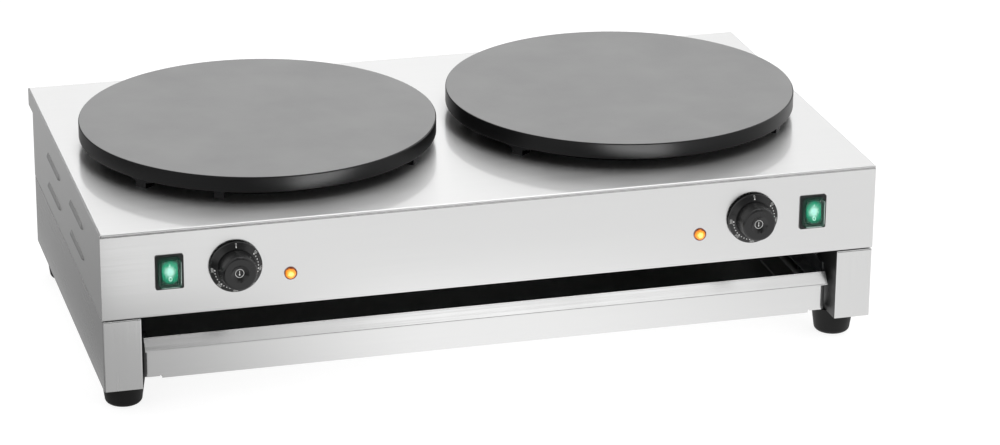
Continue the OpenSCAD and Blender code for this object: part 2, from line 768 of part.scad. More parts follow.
// Half section of a knob: dial skirt, tapered cap with a dished face and hollow back
module knob_profile() {
    skirt_r = knob_skirt_d / 2;
    skirt_z = 3;
    cap_r = 21.6;
    face_r = 19;
    edge_r = 3;
    dish_r = 9.8;
    dish_d = 3.6;
    dish_ball = (dish_r * dish_r + dish_d * dish_d) / (2 * dish_d);
    boss_r = 7;
    difference() {
        union() {
            polygon([[0, skirt_z], [skirt_r, skirt_z], [skirt_r, 4.4], [skirt_r - 0.6, 5],
                [cap_r, 8], [0, 8]]);
            polygon([[0, 7], [cap_r - 1, 7], [cap_r - 1, 8.6], [face_r, knob_reach - edge_r],
                [0, knob_reach - edge_r]]);
            translate([0, knob_reach - edge_r - 1]) square([face_r - edge_r, edge_r + 1]);
            translate([face_r - edge_r, knob_reach - edge_r]) circle(edge_r, $fn = medium);
        }
        translate([0, knob_reach - dish_d + dish_ball]) circle(dish_ball, $fn = 180);
        translate([-10, 0]) square([10, 60]);
        translate([boss_r, 0]) square([10, 19]);
        square([shaft_r + 0.02, shaft_front]);
    }
}

module knob(side) color("black") at_panel() on_side(side)
    facing_front(knob_x, z_axis) rotate_extrude($fn = fine) knob_profile();

// ---------- rocker switches and lamps ----------

module at_switch(side) at_panel() on_side(side) translate([switch_x, 0, z_axis]) children();

module switch(side) color("black") at_switch(side) difference() {
    body_l = 24;
    cavity_l = 16;
    union() {
        translate([0, -bezel_t, 0]) extrude_y(bezel_t) rounded_rect(bezel_w, bezel_h, bezel_corner_r);
        translate([-switch_body_w / 2, -0.5, -switch_body_h / 2])
            cube([switch_body_w, body_l, switch_body_h]);
        for (dx = [-5, 5], dz = [-8, 8])
            translate([dx, body_l + 3, dz]) rotate([0, 90, 0]) blade();
    }
    translate([-cavity_w / 2, -bezel_t - 1, -cavity_h / 2])
        cube([cavity_w, bezel_t + cavity_l, cavity_h]);
    translate([-pin_reach - 0.3, rocker_pivot, 0]) rotate([0, 90, 0])
        cylinder(h = 2 * (pin_reach + 0.3), r = pivot_pin_r + 0.05, $fn = coarse);
}

// Side view of a rocker about its pivot: a drum behind the bezel and a shallow V face
module rocker_profile() {
    front = -bezel_t - rocker_pivot;
    drum_r = 13.2;
    half_h = 12.6;
    end_y = -8;
    middle_y = -5.8;
    intersection() {
        circle(drum_r, $fn = 96);
        translate([front, -15]) square([7 - front, 30]);
    }
    polygon([[front + 0.5, -half_h], [end_y, -half_h], [middle_y, 0], [end_y, half_h],
        [front + 0.5, half_h]]);
}

module rocker(side) color("seagreen") at_switch(side) translate([0, rocker_pivot, 0])
    rotate([-rocker_tilt, 0, 0]) {
        extrude_x(rocker_w) rocker_profile();
        translate([-pin_reach, 0, 0]) rotate([0, 90, 0])
            cylinder(h = 2 * pin_reach, r = pivot_pin_r, $fn = coarse);
    }

// Pillow-shaped block from Y = 0 to the front, rounded on its face and its corners
module pillow(w, h, d, corner_r, edge_r) intersection() {
    extrude_forward(d) rounded_rect(w, h, corner_r);
    rotate([90, 0, 0]) translate([0, h / 2, 0]) extrude_forward(h) round_top(w, d, edge_r);
    rotate([90, 0, 0]) extrude_x(w) round_top(h, d, edge_r);
}

// Soft domed cover over a rocker
module switch_cap(side) color("lightcyan") at_switch(side) translate([0, -bezel_t, 0]) difference() {
    corner_r = 6;
    edge_r = 4;
    pillow(cap_w, cap_h, cap_d, corner_r, edge_r);
    translate([0, 0.01, 0])
        pillow(cap_w - 2 * cap_wall, cap_h - 2 * cap_wall, cap_d - cap_wall + 0.01, corner_r - cap_wall,
            edge_r - cap_wall);
}

module lamp_lens(side) color("orange") at_panel() on_side(side) facing_front(lamp_x, z_lamp)
    rotate_extrude($fn = medium) {
        dome_r = 7;
        dome_top = 5.4;
        polygon([[0, 0], [7, 0], [7, 1.4], [6.4, 2], [0, 2]]);
        intersection() {
            translate([0, dome_top - dome_r]) circle(dome_r, $fn = 96);
            translate([0, 1]) square([5.6, 6]);
        }
    }

module lamp_body(side) color("ivory") at_panel() on_side(side) facing_front(lamp_x, z_lamp) {
    body_l = 20;
    nut_h = 3;
    translate([0, 0, -body_l]) cylinder(h = body_l, r = 4.9, $fn = medium);
    translate([0, 0, -sheet - nut_h]) hexagon(13, nut_h);
    for (dx = [-2.5, 2.5]) translate([dx, 0, -body_l - 3.5]) cube([0.8, 4.8, 8], center = true);
}

// ---------- wiring parts ----------

// Safety limiter: a can on a foot plate, with a reset pin and two terminals
module limiter(side) color("tan") at_panel() on_side(side) translate([130, 52, z_body + 1]) {
    can_h = 22;
    translate([-22, -12, 0]) cube([44, 24, 1.5]);
    translate([0, 0, 1]) cylinder(h = can_h, r = 14, $fn = medium);
    translate([0, 0, can_h]) cylinder(h = 6, r = 4, $fn = coarse);
    for (dx = [-8, 8]) translate([dx, 0, can_h + 4]) rotate([90, 0, 0]) blade();
}

// Five-pole terminal block with clamping screws and wire holes
module terminal_block() color("ivory") at_panel() translate([gland_x, 400, z_body + 1]) {
    pitch = 13;
    base_l = 74;
    base_w = 30;
    screw_dy = 6;
    difference() {
        union() {
            translate([-base_l / 2, -base_w / 2, 0]) cube([base_l, base_w, 8]);
            for (i = [-2 : 2]) translate([i * pitch, 0, 0]) {
                translate([-5.2, -12, 0]) cube([10.4, 24, 17]);
                for (dy = [-screw_dy, screw_dy]) translate([0, dy, 0])
                    cylinder(h = 20, r = 4.2, $fn = coarse);
            }
        }
        for (i = [-2 : 2]) translate([i * pitch, 0, 0]) {
            for (dy = [-screw_dy, screw_dy]) translate([0, dy, 12])
                cylinder(h = through, r = 2.6, $fn = 24);
            translate([0, -20, 11]) rotate([-90, 0, 0]) cylinder(h = 40, r = 2, $fn = 24);
        }
        for (side = [-1, 1]) level_hole(side * (base_l / 2 - 2.8), 0, 4, 1.8);
    }
}

// Places children on the outside of the rear panel, with Z pointing to the rear
module at_rear(x) at_panel() translate([x, wall_d, gland_z]) rotate([-90, 0, 0]) children();

module cable_gland() color("black") at_rear(gland_x) difference() {
    cap_r = 10.6;
    cable_r = 5;
    union() {
        translate([0, 0, -12]) cylinder(h = 12, r = gland_r, $fn = medium);
        hexagon(gland_across, 5);
        translate([0, 0, 5]) cylinder(h = 2, r = 9.6, $fn = medium);
        translate([0, 0, 7]) cylinder(h = 9, r = cap_r, $fn = medium);
        translate([0, 0, 16]) cylinder(h = 4, r1 = cap_r, r2 = 7.8, $fn = medium);
    }
    translate([0, 0, -13]) cylinder(h = 34, r = cable_r, $fn = medium);
}

module gland_nut() color("black") at_rear(gland_x) translate([0, 0, -sheet - 5]) difference() {
    hexagon(gland_across, 5);
    translate([0, 0, -1]) cylinder(h = 7, r = gland_r + 0.05, $fn = coarse);
}

// Bonding stud with a washer, a nut outside and a nut inside the rear panel
module bonding_stud() color("goldenrod") at_rear(stud_x) {
    washer_t = 1.2;
    nut_h = 5;
    translate([0, 0, -10]) cylinder(h = 28, r = stud_r, $fn = 48);
    cylinder(h = washer_t, r = 7, $fn = 48);
    translate([0, 0, washer_t]) hexagon(m6_across, nut_h);
    translate([0, 0, -sheet - nut_h]) hexagon(m6_across, nut_h);
}

module floor_screws() color("darkgray") at_panel() for (p = floor_screw_points)
    translate([p[0], p[1], z_body + 1]) screw(8, 3.8, 2.4);

module rear_screws() color("darkgray") at_panel() for (p = rear_screw_points)
    translate([p[0], wall_d, p[1]]) rotate([-90, 0, 0]) screw(9, 3.8, 2.4);

// ---------- pieces ----------

top_cover();
control_panel();
rear_panel();
housing_floor();
base_side("left");  // base_side_left
base_side("right");  // base_side_right
base_rear_panel();
rail("left");  // rail_left
rail("right");  // rail_right
drawer_front();
drawer_tray();
foot(-foot_x, foot_y);  // foot_front_left
foot(foot_x, foot_y);  // foot_front_right
foot(-foot_x, wall_d - foot_y);  // foot_rear_left
foot(foot_x, wall_d - foot_y);  // foot_rear_right
foot_bolts();
plate("left");  // plate_left
plate("right");  // plate_right
heater("left");  // heater_left
heater("right");  // heater_right
insulation("left");  // insulation_left
insulation("right");  // insulation_right
pan("left");  // pan_left
pan("right");  // pan_right
plate_legs("left");  // plate_legs_left
plate_legs("right");  // plate_legs_right
leg_screws();
pan_bolts();
sensor("left");  // sensor_left
sensor("right");  // sensor_right
sensor_clip("left");  // sensor_clip_left
sensor_clip("right");  // sensor_clip_right
thermostat("left");  // thermostat_left
thermostat("right");  // thermostat_right
thermostat_screws();
shaft("left");  // shaft_left
shaft("right");  // shaft_right
knob("left");  // knob_left
knob("right");  // knob_right
switch("left");  // switch_left
switch("right");  // switch_right
rocker("left");  // rocker_left
rocker("right");  // rocker_right
switch_cap("left");  // switch_cap_left
switch_cap("right");  // switch_cap_right
lamp_lens("left");  // lamp_lens_left
lamp_lens("right");  // lamp_lens_right
lamp_body("left");  // lamp_body_left
lamp_body("right");  // lamp_body_right
limiter("left");  // limiter_left
limiter("right");  // limiter_right
terminal_block();
cable_gland();
gland_nut();
bonding_stud();
floor_screws();
rear_screws();
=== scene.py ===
import math
import bpy
from mathutils import Matrix, Vector


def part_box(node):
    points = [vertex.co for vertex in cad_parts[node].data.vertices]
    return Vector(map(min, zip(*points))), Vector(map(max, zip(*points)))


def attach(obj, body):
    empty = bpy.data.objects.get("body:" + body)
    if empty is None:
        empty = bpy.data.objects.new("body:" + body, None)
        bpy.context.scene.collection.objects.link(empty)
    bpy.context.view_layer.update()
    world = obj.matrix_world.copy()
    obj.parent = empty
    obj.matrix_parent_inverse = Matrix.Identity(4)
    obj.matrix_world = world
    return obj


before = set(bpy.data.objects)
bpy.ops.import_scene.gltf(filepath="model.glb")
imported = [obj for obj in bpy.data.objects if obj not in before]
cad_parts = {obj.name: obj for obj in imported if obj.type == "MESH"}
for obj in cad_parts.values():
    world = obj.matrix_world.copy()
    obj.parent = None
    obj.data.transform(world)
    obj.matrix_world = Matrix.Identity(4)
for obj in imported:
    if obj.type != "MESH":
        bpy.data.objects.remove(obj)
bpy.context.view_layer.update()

# Lengths are in metres, x to the right, y backwards, z up. Each ramp below is a tuple
# (start, end, value at start, value at end).

SIDES = ("left", "right")
PANEL_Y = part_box("control_panel")[0][1]
WHITE = (1, 1, 1)


def middle_of(node):
    """Middle of a CAD node's box."""
    low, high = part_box(node)
    return (low + high) / 2


# ---------------------------------------------------------------- node graphs

NOISE_ROUGHNESS = 0.55
SIDE_FACE_NORMAL = 0.6      # least x, either way, for a face that looks left or right


class Graph:
    """Shader nodes of a material or of the world."""

    def __init__(self, owner):
        owner.use_nodes = True
        self.nodes, self.links = owner.node_tree.nodes, owner.node_tree.links

    def node(self, kind, **settings):
        """New node of a kind, with its settings."""
        node = self.nodes.new("ShaderNode" + kind)
        for name, value in settings.items():
            setattr(node, name, value)
        return node

    def feed(self, socket, value):
        """Links a socket to another one, or sets it to a number, vector or colour."""
        if isinstance(value, bpy.types.NodeSocket):
            self.links.new(value, socket)
        elif socket.type == "RGBA":
            socket.default_value = (*value, 1)
        else:
            socket.default_value = value

    def fill(self, node, values):
        """Feeds a node's inputs, by index or name, and passes over those that are None."""
        for key, value in values.items():
            if value is not None:
                self.feed(node.inputs[key], value)
        return node

    def split(self, vector):
        """The sockets of a vector's x, y and z."""
        return self.fill(self.node("SeparateXYZ"), {0: vector}).outputs

    def math(self, operation, first, second=None):
        node = self.node("Math", operation=operation)
        return self.fill(node, {0: first, 1: second}).outputs[0]

    def vector_math(self, operation, first, second=None):
        node = self.fill(self.node("VectorMath", operation=operation), {0: first, 1: second})
        return node.outputs["Value" if operation == "LENGTH" else "Vector"]

    def less(self, value, *taken):
        """The value with the others taken from it."""
        for other in taken:
            value = self.math("SUBTRACT", value, other)
        return value

    def ramp(self, value, start, end, low, high, shape="SMOOTHSTEP"):
        """Low at start and high at end, held beyond them, with a step of a shape between."""
        node = self.node("MapRange", interpolation_type=shape)
        self.fill(node, {"Value": value, "From Min": start, "From Max": end,
                         "To Min": low, "To Max": high})
        return node.outputs["Result"]

    def spread(self, value, low, high, start=0.3, end=0.7):
        """A texture's value, mapped to a range in a straight line."""
        return self.ramp(value, start, end, low, high, "LINEAR")

    def mix(self, factor, first, second):
        """Number between first and second."""
        node = self.node("Mix", data_type="FLOAT")
        return self.fill(node, {0: factor, 2: first, 3: second}).outputs[0]

    def mix_color(self, factor, first, second):
        """Colour between first and second."""
        node = self.node("Mix", data_type="RGBA")
        return self.fill(node, {0: factor, 6: first, 7: second}).outputs[2]

    def noise(self, source, scale, stretch=(1, 1, 1), detail=3):
        """Noise texture stretched along the axes of the source coordinates."""
        mapping = self.fill(self.node("Mapping"), {"Vector": source, "Scale": stretch})
        texture = self.fill(self.node("TexNoise"), {
            "Vector": mapping.outputs[0], "Scale": scale, "Detail": detail,
            "Roughness": NOISE_ROUGHNESS})
        return texture.outputs["Fac"]

    def facing_aside(self):
        """1 on the faces that look left or right, and 0 elsewhere."""
        normal = self.split(self.node("NewGeometry").outputs["True Normal"])
        return self.math("GREATER_THAN", self.math("ABSOLUTE", normal["X"]), SIDE_FACE_NORMAL)


class Finish(Graph):
    """Material with one principled shader."""

    def __init__(self, name, color, roughness, metallic=0.0):
        self.material = bpy.data.materials.new(name)
        super().__init__(self.material)
        self.set({"Base Color": color, "Roughness": roughness, "Metallic": metallic})

    def set(self, values):
        self.fill(self.nodes["Principled BSDF"], values)

    def coords(self):
        return self.node("TexCoord").outputs["Object"]

    def bump(self, height, relief, depth):
        """Raises the surface by a texture: relief is the share of the depth that shows."""
        node = self.fill(self.node("Bump"),
                         {"Height": height, "Strength": relief, "Distance": depth})
        self.set({"Normal": node.outputs[0]})


# ---------------------------------------------------------------- camera

CAMERA_PLACE = (-0.9938, -3.7530, 1.5940)
CAMERA_ANGLES = (15.7895, 21.0766, -0.5310)     # degrees to the right, down and rolled
CAMERA_LENS_MM = 130.7
CAMERA_SENSOR_MM = 36
CAMERA_REACH = 100


def add_camera():
    """Camera solved from the corners of the housing and the rims of the plates."""
    yaw, pitch, roll = map(math.radians, CAMERA_ANGLES)
    forward = Vector((math.sin(yaw) * math.cos(pitch), math.cos(yaw) * math.cos(pitch),
                      -math.sin(pitch)))
    right = Vector((math.cos(yaw), -math.sin(yaw), 0))
    down = forward.cross(right)
    right_rolled = right * math.cos(roll) + down * math.sin(roll)
    down_rolled = down * math.cos(roll) - right * math.sin(roll)
    data = bpy.data.cameras.new("camera")
    data.lens = CAMERA_LENS_MM
    data.sensor_width = CAMERA_SENSOR_MM
    data.clip_end = CAMERA_REACH
    camera = bpy.data.objects.new("camera", data)
    turn = Matrix((right_rolled, -down_rolled, -forward)).transposed()
    camera.matrix_world = Matrix.Translation(CAMERA_PLACE) @ turn.to_4x4()
    bpy.context.collection.objects.link(camera)
    bpy.context.scene.camera = camera


# ---------------------------------------------------------------- studio that reflections see

# Ramps over the x, y or z of a ray's direction. A band is (start, end, soft edge, strength)
# over x, and the right flag takes its strength from a ramp.
BEHIND_FROM_Y = (0.0, 0.3, 0.0, 1.0)
LOW_BEHIND = 1.2
HIGH_BEHIND = 0.65
HIGH_BEHIND_FROM_Z = (0.5, 0.62, 0.0, 1.0)
LEFT_FLAG_X = (-0.14, -0.02, 1.1, 0.0)
LEFT_FLAG_TOP_ASIDE_Z = (0.22, 0.32, 1.0, 0.0)
LEFT_FLAG_TOP_AHEAD_Z = (0.5, 0.6, 1.0, 0.0)
LEFT_FLAG_AHEAD_Y = (0.7, 0.8, 0.0, 1.0)
RIGHT_FLAG_X = (0.36, 0.56, 0.08)
RIGHT_FLAG_Z = (0.12, 0.24, 0.8, 0.0)
LOW_FRONT = 0.85
LOW_FRONT_FLAG = (-0.24, 0.45, 0.12, 0.6)
HIGH_FRONT = 0.94
HIGH_FRONT_FROM_Z = (0.6, 0.72, 0.0, 1.0)
HIGH_FRONT_FLAG = (-0.04, 0.146, 0.1, 0.9)
HIGH_FRONT_CARD = (0.23, 0.28, 0.07, 0.74)
HIGH_FRONT_RIGHT_FLAG = (0.36, 0.48, 0.08, 0.4)


def add_world():
    """White to the camera. Reflections see a studio with grey flags low behind on both sides
    and in front, and a brighter card high in front."""
    world = bpy.data.worlds.new("studio")
    bpy.context.scene.world = world
    graph = Graph(world)
    graph.nodes.clear()
    x, y, z = graph.split(graph.node("TexCoord").outputs["Generated"])

    def band(start, end, soft, strength):
        """The strength between start and end, and nothing further than soft outside them."""
        inside = graph.math("MULTIPLY", graph.ramp(x, start - soft, start, 0.0, 1.0),
                            graph.ramp(x, end, end + soft, 1.0, 0.0))
        return graph.math("MULTIPLY", inside, strength)

    left_flag_height = graph.mix(graph.ramp(y, *LEFT_FLAG_AHEAD_Y),
                                 graph.ramp(z, *LEFT_FLAG_TOP_ASIDE_Z),
                                 graph.ramp(z, *LEFT_FLAG_TOP_AHEAD_Z))
    left_flag = graph.math("MULTIPLY", graph.ramp(x, *LEFT_FLAG_X), left_flag_height)
    right_flag = band(*RIGHT_FLAG_X, graph.ramp(z, *RIGHT_FLAG_Z))
    low_behind = graph.less(LOW_BEHIND, left_flag, right_flag)
    behind = graph.mix(graph.ramp(z, *HIGH_BEHIND_FROM_Z), low_behind, HIGH_BEHIND)
    low_front = graph.less(LOW_FRONT, band(*LOW_FRONT_FLAG))
    shaded_front = graph.less(HIGH_FRONT, band(*HIGH_FRONT_FLAG), band(*HIGH_FRONT_RIGHT_FLAG))
    high_front = graph.math("ADD", shaded_front, band(*HIGH_FRONT_CARD))
    front = graph.mix(graph.ramp(z, *HIGH_FRONT_FROM_Z), low_front, high_front)
    studio = graph.mix(graph.ramp(y, *BEHIND_FROM_Y), front, behind)
    seen = graph.node("LightPath").outputs["Is Camera Ray"]
    back = graph.fill(graph.node("Background"),
                      {"Color": WHITE, "Strength": graph.mix(seen, studio, 1.0)})
    graph.fill(graph.node("OutputWorld"), {"Surface": back.outputs[0]})


# ---------------------------------------------------------------- lights

STUDIO_TARGET = (0, 0, 0.2)


def add_softbox(name, place, target, size, power, mirrored=True):
    data = bpy.data.lights.new(name, "AREA")
    data.shape = "RECTANGLE"
    data.size, data.size_y = size
    data.energy = power
    lamp = bpy.data.objects.new(name, data)
    lamp.location = place
    lamp.rotation_euler = (Vector(target) - Vector(place)).to_track_quat("-Z", "Y").to_euler()
    lamp.visible_glossy = mirrored
    bpy.context.collection.objects.link(lamp)
    return lamp


def add_rim_card():
    """Low card in front that lights only the plates: the soft highlight on their rims."""
    card = add_softbox("rim_card", place=(0.11, -0.66, 0.05), target=(0.11, -0.187, 0.235),
                       size=(0.46, 0.1), power=2.8)
    card.visible_camera = False
    plates = bpy.data.collections.new("plates")
    for side in SIDES:
        plates.objects.link(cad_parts["plate_" + side])
    card.light_linking.receiver_collection = plates


def add_lights():
    add_softbox("softbox_over", place=(0.5, 0.3, 3.2), target=STUDIO_TARGET,
                size=(3.0, 2.2), power=16)
    add_softbox("softbox_front", place=(1.3, -2.7, 1.5), target=STUDIO_TARGET,
                size=(1.2, 0.9), power=14, mirrored=False)
    add_rim_card()


# ---------------------------------------------------------------- floor

FLOOR_HALF, FLOOR_Z = 30, -0.0005
FLOOR_TONE = (0.3, 0.3, 0.3)
FLOOR_ROUGHNESS = 0.9
FLOOR_SPECULAR = 0.1
FLOOR_GLOW = 0.84
CARD_HALF, CARD_Z = 4, -0.0002

# The card's light, as ramps over x or y. It has three parts: near in front of the object,
# far in front of it, and beside its left side.
CARD_NEAR_LEFT_X = (-0.42, -0.02, 0.5, 1.12)
CARD_NEAR_RIGHT_X = (0.05, 0.5, 0.0, -0.2)
CARD_FAR_X = (-0.4, 0.0, 1.0, 0.93)
CARD_FAR_END_X = (-0.36, -0.42, 0.0, 1.0)
CARD_FAR_END = 0.12
CARD_FAR_FROM_Y = (-0.5, -0.6, 0.0, 1.0)
CARD_BESIDE_X = (-0.43, -0.47, 0.0, 1.0)
CARD_BESIDE_FROM_Y = (-0.4, -0.3, 0.0, 1.0)
CARD_BESIDE_Y = (-0.15, 0.8, 0.22, 0.38)


def stage_sheet(name, half, z, material):
    """Level square of the stage, below the object."""
    mesh = bpy.data.meshes.new(name)
    corners = [(-half, -half, 0), (half, -half, 0), (half, half, 0), (-half, half, 0)]
    mesh.from_pydata(corners, [], [(0, 1, 2, 3)])
    mesh.materials.append(material)
    sheet = bpy.data.objects.new(name, mesh)
    sheet.location.z = z
    bpy.context.collection.objects.link(sheet)
    return sheet


def add_floor():
    """Pale floor, lit mostly by its own glow."""
    floor = Finish("floor", FLOOR_TONE, FLOOR_ROUGHNESS)
    floor.set({"Specular IOR Level": FLOOR_SPECULAR, "Emission Color": WHITE,
               "Emission Strength": FLOOR_GLOW})
    stage_sheet("floor", FLOOR_HALF, FLOOR_Z, floor.material)


def add_floor_card():
    """Card on the floor that only reflections see: grey beside the left side, and darker to
    the left and right in front."""
    material = bpy.data.materials.new("floor_card")
    graph = Graph(material)
    graph.nodes.clear()
    x, y, _ = graph.split(graph.node("NewGeometry").outputs["Position"])
    near = graph.math("ADD", graph.ramp(x, *CARD_NEAR_LEFT_X), graph.ramp(x, *CARD_NEAR_RIGHT_X))
    far = graph.mix(graph.ramp(x, *CARD_FAR_END_X), graph.ramp(x, *CARD_FAR_X), CARD_FAR_END)
    front = graph.mix(graph.ramp(y, *CARD_FAR_FROM_Y), near, far)
    beside = graph.math("MULTIPLY", graph.ramp(x, *CARD_BESIDE_X),
                        graph.ramp(y, *CARD_BESIDE_FROM_Y))
    strength = graph.mix(beside, front, graph.ramp(y, *CARD_BESIDE_Y))
    light = graph.fill(graph.node("Emission"), {"Strength": strength})
    graph.fill(graph.node("OutputMaterial"), {"Surface": light.outputs[0]})
    card = stage_sheet("floor_card", CARD_HALF, CARD_Z, material)
    card.visible_camera = False
    card.visible_diffuse = False
    card.visible_transmission = False
    card.visible_shadow = False


# ---------------------------------------------------------------- materials

# Textures have this many cells to the metre.
GRAIN_ACROSS, GRAIN_ALONG = 700, 4
SMUDGES = 9
SPANGLE = 90
METAL_SPOTS = 300
MOULDED_CLOUDS = 40
COVER_CLOUDS = 120
PLATE_RINGS, PLATE_BLOTCHES, PLATE_PORES = 2600, 14, 420
GLOW_CLOUDS = 420

# Depths are how far a bump stands out. Dark and light are the two ends of an uneven colour,
# or factors of it, and a gloss is a range of roughness.
GRAIN_DEPTH = 0.0002
GRAIN_DARK, GRAIN_LIGHT = (0.955, 0.955, 0.955), (1.02, 1.02, 1.015)
SMUDGE_GLOSS = (-0.015, 0.02)
# Painted shade on the insides of the legs: dark grey with a duller gloss.
LEG_INSIDE_SHADE_GREY, LEG_INSIDE_ROUGHNESS = (0.1, 0.1, 0.1), 0.5
# Painted shade on the louvre hoods: a darker grey with a duller gloss.
HOOD_SHADE_GREY, HOOD_ROUGHNESS = (0.36, 0.36, 0.36), 0.42
POLISH_ROUGHNESS, POLISH_IOR = 0.08, 2.0
# Side faces of the legs nearer the middle than this get painted shade.
LEG_SHADE_X = 0.43           # between the outer and the inner sheet of a leg
# What stands out beyond this is louvre hood, painted darker as painted shade.
LOUVRE_HOOD_X = 0.43408     # just outside the flat sides of the cover

SPANGLE_DARK, SPANGLE_LIGHT = (0.3, 0.31, 0.32), (0.45, 0.46, 0.47)
SPANGLE_GLOSS = (0.36, 0.5)
METAL_DARK, METAL_LIGHT = 0.85, 1.1
METAL_RELIEF, METAL_DEPTH = 0.06, 0.0003
MOULDED_DARK, MOULDED_LIGHT = 0.85, 1.2
MOULDED_GLOSSIER, MOULDED_DULLER = 0.05, 0.07
MOULDED_DEPTH = 0.0004

PLATE_DARK, PLATE_LIGHT = (0.255, 0.255, 0.257), (0.34, 0.34, 0.338)
PLATE_TOP_NORMAL = (0.93, 0.99)
PLATE_GLOSS = (0.36, 0.46)
PLATE_METALLIC = 0.55
PLATE_SPECULAR = 0.22
PLATE_RELIEF, PLATE_DEPTH = 0.05, 0.0004
PLATE_RIM, PLATE_RIM_ROUGHNESS = (0.005, 0.005, 0.0053), 0.34

COVER_TONE, COVER_GLOSS, COVER_IOR = (0.84, 0.93, 0.9), (0.12, 0.22), 1.2
# Painted glow: the cover itself glows faintly green, standing in for the rocker's light
# scattered in it.
COVER_GLOW, COVER_GLOW_STRENGTH = (0.02, 0.5, 0.28), 0.018
COVER_RELIEF, COVER_DEPTH = 0.05, 0.0006

GLOW_ROUGHNESS = 0.22
GLOW_COAT, GLOW_COAT_ROUGHNESS = 0.25, 0.1
ROCKER_GLOW_UP = 0.0012
ROCKER_GLOW = {
    "reach": (0.0122, 0.05, 0.0142), "strength": 0.48, "mottle": 0.08, "core_to": 0.16,
    "turn_at": 0.62, "colors": ((0.55, 0.84, 0.76), (0.003, 0.26, 0.14), (0.0, 0.02, 0.01))}
LAMP_GLOW_LEFT, LAMP_GLOW_UP = 0.0008, 0.0006
LAMP_GLOW = {
    "reach": (0.007, 0.009, 0.007), "strength": 0.9, "mottle": 0.1, "core_to": 0.12,
    "turn_at": 0.62, "colors": ((1.0, 0.8, 0.2), (0.85, 0.26, 0.015), (0.09, 0.012, 0.0))}
PRINT_GLOW_Z = 0.163
PRINT_GLOW = {
    "reach": (1, 1, 1), "strength": 0.7, "mottle": 0.1, "core_to": 0.0, "turn_at": 0.5,
    "colors": ((0.7, 0.95, 0.85),) * 3}


def shade(color, factor):
    """The colour made darker or lighter."""
    return [min(1, part * factor) for part in color]


def brushed_steel(name, tone, rough, upright=False, spread_gloss=0.0, polish=0.0,
                  relief=0.02, streaks=0.035, shade_inside=0.0, shade_hoods_beyond=0.0):
    """Brushed stainless sheet: grain along the length of each face, faint smudges.

    The gloss spreads across the grain, and polish lays a sharper reflection over it. Faces
    that look left or right and lie nearer the middle than a given x are painted dark grey
    and duller: painted shade on the insides of the legs. What stands out beyond another
    given x is louvre hood, painted a darker grey as painted shade."""
    mat = Finish(name, (tone,) * 3, rough, 1.0)
    coords = mat.coords()
    along_front = ((GRAIN_ACROSS, GRAIN_ACROSS, GRAIN_ALONG) if upright
                   else (GRAIN_ALONG, GRAIN_ACROSS, GRAIN_ACROSS))
    front_grain = mat.noise(coords, 1.0, along_front)
    side_grain = mat.noise(coords, 1.0, (GRAIN_ACROSS, GRAIN_ALONG, GRAIN_ACROSS))
    aside = mat.facing_aside()
    grain = mat.mix(aside, front_grain, side_grain)
    fine = mat.spread(grain, rough - streaks, rough + streaks)
    gloss = mat.math("ADD", fine, mat.spread(mat.noise(coords, SMUDGES), *SMUDGE_GLOSS))
    color = mat.mix_color(grain, shade(GRAIN_DARK, tone), shade(GRAIN_LIGHT, tone))
    off_middle = mat.math("ABSOLUTE", mat.split(coords)["X"])
    # Painted shade: the inside faces of the legs are painted dark grey and duller.
    if shade_inside:
        back = mat.math("MULTIPLY", aside, mat.math("LESS_THAN", off_middle, shade_inside))
        gloss = mat.mix(back, gloss, LEG_INSIDE_ROUGHNESS)
        color = mat.mix_color(back, color, LEG_INSIDE_SHADE_GREY)
    # Painted shade: the louvre hoods are painted a darker grey.
    if shade_hoods_beyond:
        hood = mat.math("GREATER_THAN", off_middle, shade_hoods_beyond)
        gloss = mat.mix(hood, gloss, HOOD_ROUGHNESS)
        color = mat.mix_color(hood, color, HOOD_SHADE_GREY)
    if spread_gloss:
        across = mat.fill(mat.node("CombineXYZ"), {"Y": 1})
        mat.set({"Tangent": across.outputs[0]})
    mat.set({"Base Color": color, "Roughness": gloss, "Anisotropic": spread_gloss,
             "Coat Weight": polish, "Coat Roughness": POLISH_ROUGHNESS,
             "Coat IOR": POLISH_IOR})
    mat.bump(grain, relief, GRAIN_DEPTH)
    return mat.material


def galvanised(name):
    """Zinc-coated sheet with a faint spangle, its tone darker than zinc as painted shade inside
    the housing.
    """
    mat = Finish(name, SPANGLE_LIGHT, SPANGLE_GLOSS[0], 1.0)
    cells = mat.fill(mat.node("TexVoronoi"), {"Vector": mat.coords(), "Scale": SPANGLE})
    tone, gloss, _ = mat.split(cells.outputs["Color"])
    mat.set({"Base Color": mat.mix_color(tone, SPANGLE_DARK, SPANGLE_LIGHT),
             "Roughness": mat.spread(gloss, *SPANGLE_GLOSS, 0, 1)})
    return mat.material


def plain_metal(name, color, rough, vary=0.06):
    """Small turned or pressed metal piece with slightly uneven gloss."""
    mat = Finish(name, color, rough, 1.0)
    spots = mat.noise(mat.coords(), METAL_SPOTS)
    dark, light = shade(color, METAL_DARK), shade(color, METAL_LIGHT)
    mat.set({"Base Color": mat.mix_color(spots, dark, light),
             "Roughness": mat.spread(spots, rough - vary, rough + vary)})
    mat.bump(spots, METAL_RELIEF, METAL_DEPTH)
    return mat.material


def moulded(name, color, rough, grain=900, relief=0.05, specular=0.5):
    """Moulded plastic, rubber or ceramic with a fine grain."""
    mat = Finish(name, color, rough)
    coords = mat.coords()
    clouds = mat.noise(coords, MOULDED_CLOUDS)
    dark, light = shade(color, MOULDED_DARK), shade(color, MOULDED_LIGHT)
    mat.set({"Base Color": mat.mix_color(clouds, dark, light),
             "Roughness": mat.spread(clouds, rough - MOULDED_GLOSSIER, rough + MOULDED_DULLER),
             "Specular IOR Level": specular})
    mat.bump(mat.noise(coords, grain), relief, MOULDED_DEPTH)
    return mat.material


